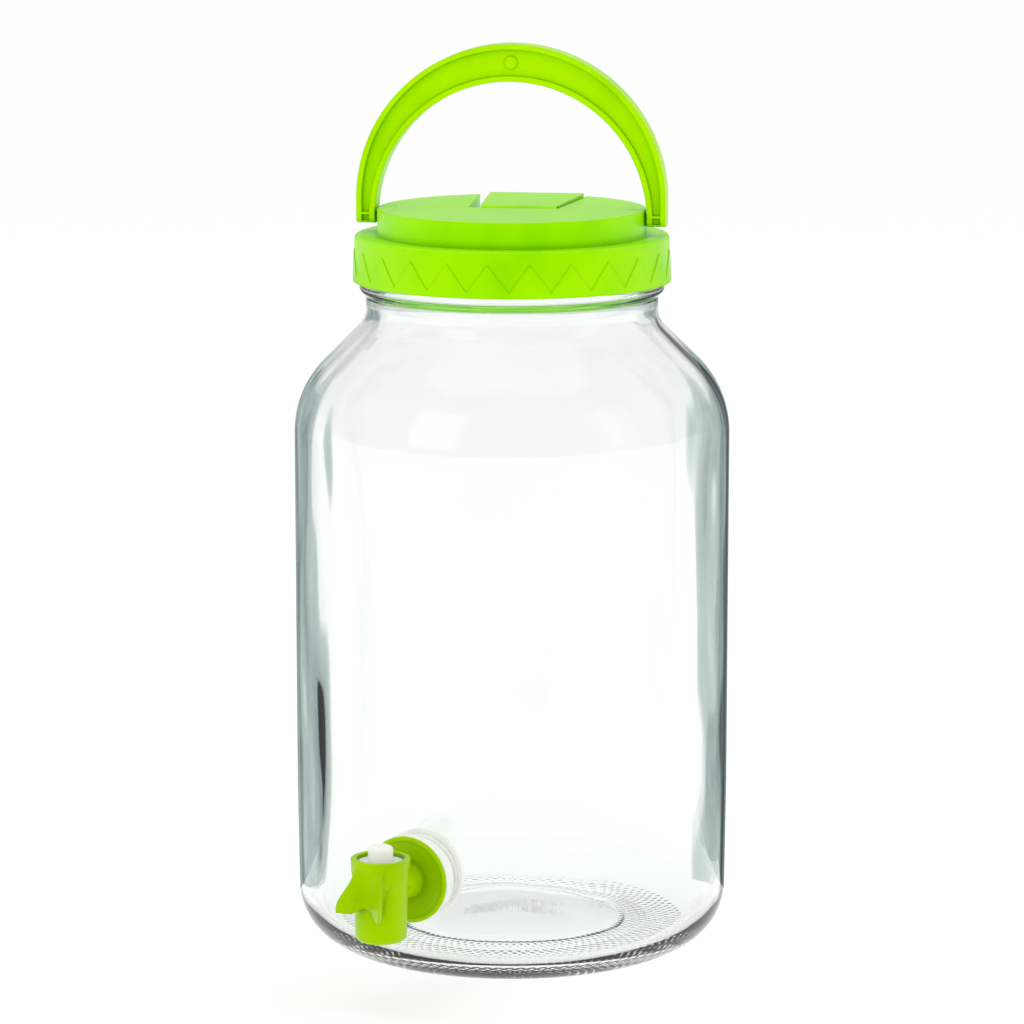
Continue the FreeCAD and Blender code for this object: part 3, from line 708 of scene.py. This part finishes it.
class OBJECT_OT_dispenser_tap(bpy.types.Operator):
    """Builds the press tap with its wings, button, diaphragm, washers and nut"""
    bl_idname = "object.dispenser_tap"
    bl_label = "Press tap"

    def execute(self, context):
        t = context.scene.dispenser_tap
        shell = flange_and_shank(t)
        joined(shell, barrel(t), "UNION", 50)
        joined(shell, finger_wings(t), "UNION", 50)
        # hollow sets how far the painted shade in the tap's hollows, such as its dish round the tube,
        # reaches.
        lime = moulded(
            "tap_polypropylene", tuple(t.lime), tuple(t.shade), 0.7 * MM,
            rough=0.3, seam=t.axis_height, hollow=0.01
        )
        finished(shell, lime, "jar", "lime_tap", "tap_body")
        white = milky("white_plastic_moulded", tuple(t.white), 0.38, 700, 0.3 * MM)
        rubber = milky("white_silicone", tuple(t.white), 0.48, 450, 0.35 * MM)
        finished(press_button(t), white, "tap_plunger", "white_plastic", "tap_button")
        finished(diaphragm(t), rubber, "jar", "white_rubber", "tap_diaphragm")
        for name in ("tap_washer_outer", "tap_washer_inner", "tap_valve_disc"):
            repainted(name, rubber)
        repainted("tap_nut", white)
        return {"FINISHED"}


# ----------------------------------------------------------------- stage

def edge_card(name, side, eye):
    """Card beside the jar that only glass and gloss see: it draws the dark lines in the glass's edges."""
    bm = bmesh.new()
    bmesh.ops.create_grid(bm, x_segments=1, y_segments=1, size=0.5)
    bmesh.ops.scale(bm, vec=(0.232, 0.30, 1), verts=bm.verts)
    bmesh.ops.translate(bm, verts=bm.verts, vec=(0.197 if side > 0 else -0.204, -0.055, -1.76))
    card = made(name, bm)
    material = bpy.data.materials.new(name)
    material.use_nodes = True
    tree = material.node_tree
    where = tree.nodes.new("ShaderNodeTexCoord").outputs["Object"]
    split = tree.nodes.new("ShaderNodeSeparateXYZ")
    tree.links.new(where, split.inputs["Vector"])
    near = 0.081 if side > 0 else 0.088
    out = span(tree, maths(tree, "MULTIPLY", split.outputs["X"], side), near, 0.32, 0, 1)
    tone = ramp(tree, out, [
        (0.0, (0.92, 0.95, 0.94)), (0.015, (0.46, 0.56, 0.51)), (0.05, (0.30, 0.40, 0.35)),
        (0.09, (0.34, 0.44, 0.38)), (0.14, (0.13, 0.17, 0.19)), (0.2, (0.42, 0.50, 0.50)),
        (0.35, (0.17, 0.21, 0.23)), (0.6, (0.35, 0.40, 0.44)), (1.0, (0.8, 0.8, 0.8)),
    ])
    glow = tree.nodes.new("ShaderNodeEmission")
    tree.links.new(tone.outputs["Color"], glow.inputs["Color"])
    tree.links.new(glow.outputs["Emission"], tree.nodes["Material Output"].inputs["Surface"])
    card.data.materials.append(material)
    card.parent = eye
    card.visible_camera = False
    card.visible_diffuse = False
    card.visible_shadow = False


def area_light(name, size, power, place, target, tone=(1, 1, 1)):
    lamp = bpy.data.lights.new(name, "AREA")
    lamp.shape = "RECTANGLE"
    lamp.size, lamp.size_y = size
    lamp.energy = power
    lamp.color = tone
    rig = bpy.data.objects.new(name, lamp)
    rig.location = place
    rig.rotation_euler = (Vector(target) - Vector(place)).to_track_quat("-Z", "Y").to_euler()
    bpy.context.scene.collection.objects.link(rig)
    return rig


def studio_world(context):
    """White surround, even for matt surfaces and darker at the camera's side for glass and gloss."""
    world = bpy.data.worlds.new("studio")
    context.scene.world = world
    world.use_nodes = True
    tree = world.node_tree
    back = tree.nodes["Background"]
    way = tree.nodes.new("ShaderNodeTexCoord").outputs["Generated"]
    split = tree.nodes.new("ShaderNodeSeparateXYZ")
    tree.links.new(way, split.inputs["Vector"])
    front = tree.nodes.new("ShaderNodeVectorMath")
    front.operation = "DOT_PRODUCT"
    a = context.scene.dispenser_stage.turn
    front.inputs[1].default_value = (math.sin(a), -math.cos(a), 0)
    tree.links.new(way, front.inputs[0])
    turned_to = span(tree, front.outputs["Value"], -1, 1, 0, 1)
    through = ramp(tree, turned_to, [
        (0.0, (1.15, 1.15, 1.15)), (0.3, (1.05, 1.05, 1.05)), (0.55, (0.42, 0.46, 0.49)),
        (0.8, (0.30, 0.34, 0.37)), (1.0, (0.32, 0.36, 0.39)),
    ])
    gloss = ramp(tree, turned_to, [
        (0.0, (0.72, 0.72, 0.72)), (0.3, (0.40, 0.40, 0.40)), (0.55, (0.22, 0.22, 0.23)),
        (0.8, (0.12, 0.12, 0.13)), (1.0, (0.16, 0.16, 0.17)),
    ])
    path = tree.nodes.new("ShaderNodeLightPath")
    matt = blended(tree, path.outputs["Is Transmission Ray"], (1.04, 1.04, 1.04), through.outputs["Color"])
    shiny = blended(tree, path.outputs["Is Glossy Ray"], matt, gloss.outputs["Color"])
    white = blended(tree, path.outputs["Is Camera Ray"], shiny, (1, 1, 1))
    tree.links.new(white, back.inputs["Color"])
    back.inputs["Strength"].default_value = 1


class OBJECT_OT_dispenser_stage(bpy.types.Operator):
    """Sets the floor, the soft studio light, the camera and its two dark cards"""
    bl_idname = "object.dispenser_stage"
    bl_label = "Stage"

    def execute(self, context):
        s = context.scene.dispenser_stage
        studio_world(context)
        bm = bmesh.new()
        bmesh.ops.create_grid(bm, x_segments=1, y_segments=1, size=s.floor_size / 2)
        bmesh.ops.translate(bm, verts=bm.verts, vec=(0, 0, -0.0003))
        floor = made("floor", bm)
        material, _, shader = new_material("pale_floor")
        shader.inputs["Base Color"].default_value = (0.95, 0.95, 0.95, 1)
        shader.inputs["Roughness"].default_value = 0.9
        shader.inputs["Specular IOR Level"].default_value = 0.0
        floor.data.materials.append(material)
        a = s.turn
        to_camera, right = Vector((math.sin(a), -math.cos(a), 0)), Vector((math.cos(a), math.sin(a), 0))
        aim = Vector((0, 0, 0.16))
        area_light("top_softbox", (1.4, 1.4), 2.2, -to_camera * 0.25 + Vector((0, 0, 1.5)), aim)
        area_light("left_softbox", (0.7, 1.1), 1.6, to_camera * 1.1 - right * 1.0 + Vector((0, 0, 0.9)), aim)
        area_light("right_softbox", (0.5, 1.1), 0.8, to_camera * 0.7 + right * 1.3 + Vector((0, 0, 0.8)), aim)
        camera = bpy.data.cameras.new("camera")
        camera.sensor_width = 36
        camera.lens = s.lens
        camera.clip_start = 0.05
        camera.clip_end = 200
        eye = bpy.data.objects.new("camera", camera)
        context.scene.collection.objects.link(eye)
        eye.location = to_camera * s.distance + Vector((0, 0, s.height))
        eye.rotation_euler = (math.pi / 2 - s.pitch, 0, a)
        context.scene.camera = eye
        edge_card("edge_card_left", -1, eye)
        edge_card("edge_card_right", 1, eye)
        context.scene.view_settings.view_transform = "Standard"
        return {"FINISHED"}


# ----------------------------------------------------------------- panel

class VIEW3D_PT_dispenser(bpy.types.Panel):
    """Sizes, colours and steps of the dispenser jar"""
    bl_label = "Dispenser Jar"
    bl_idname = "VIEW3D_PT_dispenser"
    bl_space_type = "VIEW_3D"
    bl_region_type = "UI"
    bl_category = "Dispenser"

    def draw(self, context):
        for holder, step in (
            ("dispenser_glass", OBJECT_OT_dispenser_glass),
            ("dispenser_lid", OBJECT_OT_dispenser_lid),
            ("dispenser_tap", OBJECT_OT_dispenser_tap),
            ("dispenser_stage", OBJECT_OT_dispenser_stage),
        ):
            box = self.layout.box()
            settings = getattr(context.scene, holder)
            for key in settings.__annotations__:
                box.prop(settings, key)
            box.operator(step.bl_idname)


CLASSES = (
    DispenserGlass,
    DispenserLid,
    DispenserTap,
    DispenserStage,
    OBJECT_OT_dispenser_glass,
    OBJECT_OT_dispenser_lid,
    OBJECT_OT_dispenser_tap,
    OBJECT_OT_dispenser_stage,
    VIEW3D_PT_dispenser,
)


def register():
    for entry in CLASSES:
        bpy.utils.register_class(entry)
    bpy.types.Scene.dispenser_glass = bpy.props.PointerProperty(type=DispenserGlass)
    bpy.types.Scene.dispenser_lid = bpy.props.PointerProperty(type=DispenserLid)
    bpy.types.Scene.dispenser_tap = bpy.props.PointerProperty(type=DispenserTap)
    bpy.types.Scene.dispenser_stage = bpy.props.PointerProperty(type=DispenserStage)


def unregister():
    del bpy.types.Scene.dispenser_stage
    del bpy.types.Scene.dispenser_tap
    del bpy.types.Scene.dispenser_lid
    del bpy.types.Scene.dispenser_glass
    for entry in reversed(CLASSES):
        bpy.utils.unregister_class(entry)


def main():
    register()
    bpy.ops.object.dispenser_glass()
    bpy.ops.object.dispenser_lid()
    bpy.ops.object.dispenser_tap()
    bpy.ops.object.dispenser_stage()
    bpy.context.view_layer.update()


if __name__ == "__main__":
    main()
